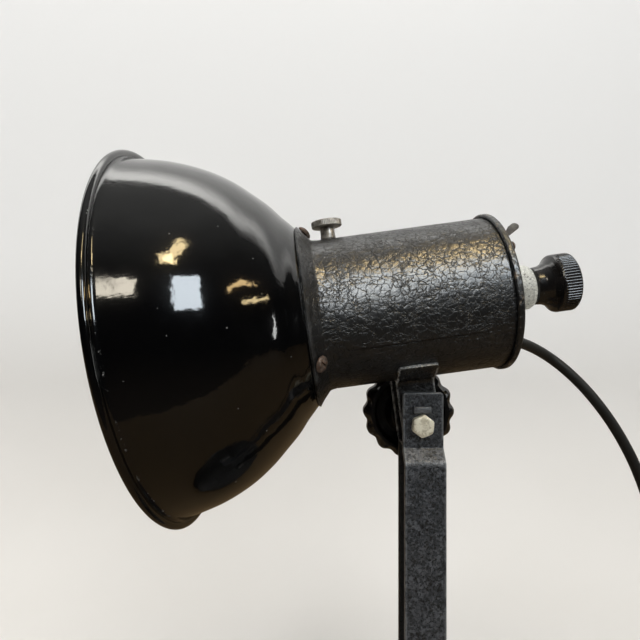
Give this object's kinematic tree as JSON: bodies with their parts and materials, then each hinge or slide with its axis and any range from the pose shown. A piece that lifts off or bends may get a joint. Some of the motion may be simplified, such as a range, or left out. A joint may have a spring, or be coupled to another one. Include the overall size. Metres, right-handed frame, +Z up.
{
  "type": "photo enlarger lamp head",
  "caption": "Lamp head of a photo enlarger: bowl reflector, cylindrical housing with sliding lamp carriage, tilting in a strap fork on a round base.",
  "frame": {"origin": "centre of the base's underside", "axes": "+Z up; +X towards the rear of the lamp with the adjusting knob, -X towards the reflector; +Y towards the star knob"},
  "size_m": [0.3521, 0.242, 0.4215],
  "materials": {
    "wrinkle_paint": "black wrinkle paint",
    "black_enamel": "vitreous enamel, deep gloss black outside, white inside",
    "bakelite": "polished black phenolic",
    "nickel_steel": "worn nickel",
    "zinc_steel": "dull yellowed zinc",
    "rusty_steel": "rust-stained steel",
    "brass": "satin",
    "grey_bush": "speckled grey insulating compound",
    "black_rubber": "satin",
    "porcelain": "glazed",
    "opal_glass": "opal",
    "felt": "felt",
    "aluminium": "turned"
  },
  "bodies": {
    "stand": {"base_plate": "wrinkle_paint", "base_felt": "felt", "base_grommet": "black_rubber", "near_leg": "wrinkle_paint", "far_leg": "wrinkle_paint", "foot_screw_1": "nickel_steel", "foot_screw_2": "nickel_steel", "foot_screw_3": "nickel_steel", "foot_screw_4": "nickel_steel", "pivot_bolt": "zinc_steel", "knob_washer": "nickel_steel", "mains_cable": "black_rubber"},
    "clamp_knob": {"star_knob": "bakelite", "star_knob_insert": "brass"},
    "lamp_head": {"housing_tube": "wrinkle_paint", "reflector": "black_enamel", "collar_screw_1": "rusty_steel", "collar_screw_2": "rusty_steel", "collar_screw_3": "rusty_steel", "rear_cap": "wrinkle_paint", "rear_bush": "grey_bush", "bush_nut": "nickel_steel", "cable_gland": "black_rubber", "latch_rivet": "rusty_steel", "saddle_bracket": "wrinkle_paint", "distance_tube": "nickel_steel", "lock_boss": "nickel_steel", "inner_cable": "black_rubber"},
    "latch": {"cap_latch": "rusty_steel"},
    "thumb_screw": {"lock_screw": "nickel_steel"},
    "lamp_carriage": {"carriage_sleeve": "aluminium", "focus_rod": "nickel_steel", "rod_nut_front": "nickel_steel", "rod_nut_rear": "nickel_steel", "lamp_holder": "porcelain", "lamp_shell": "brass", "centre_contact": "brass", "holder_post_1": "nickel_steel", "holder_post_2": "nickel_steel", "terminal_screw_1": "brass", "terminal_screw_2": "brass", "bulb_cap": "brass", "bulb_glass": "opal_glass"},
    "adjusting_knob": {"focus_knob": "bakelite"}
  },
  "joints": [
    {"name": "head_tilt", "type": "hinge", "parent": "stand", "child": "lamp_head", "pos_m": [0, 0, 0.245], "axis": [0, 1, 0], "range_deg": [-52, 90], "deforming": ["mains_cable"]},
    {"name": "clamp_knob_turn", "type": "hinge", "parent": "stand", "child": "clamp_knob", "pos_m": [0, 0.03, 0.245], "axis": [0, 1, 0], "continuous": true},
    {"name": "lamp_slide", "type": "slide", "parent": "lamp_head", "child": "lamp_carriage", "axis": [0.9907, 0, 0.1357], "range_m": [0, 0.015], "deforming": ["inner_cable"]},
    {"name": "adjusting_knob_turn", "type": "hinge", "parent": "lamp_carriage", "child": "adjusting_knob", "pos_m": [0.0909, 0, 0.33669], "axis": [0.9907, 0, 0.1357], "range_deg": [0, 180]},
    {"name": "thumb_screw_turn", "type": "hinge", "parent": "lamp_head", "child": "thumb_screw", "pos_m": [-0.06077, 0, 0.37546], "axis": [-0.1357, 0, 0.9907], "continuous": true},
    {"name": "latch_turn", "type": "hinge", "parent": "lamp_head", "child": "latch", "pos_m": [0.04865, -0.03731, 0.35629], "axis": [0.9907, 0, 0.1357], "range_deg": [-45, 45]}
  ]
}
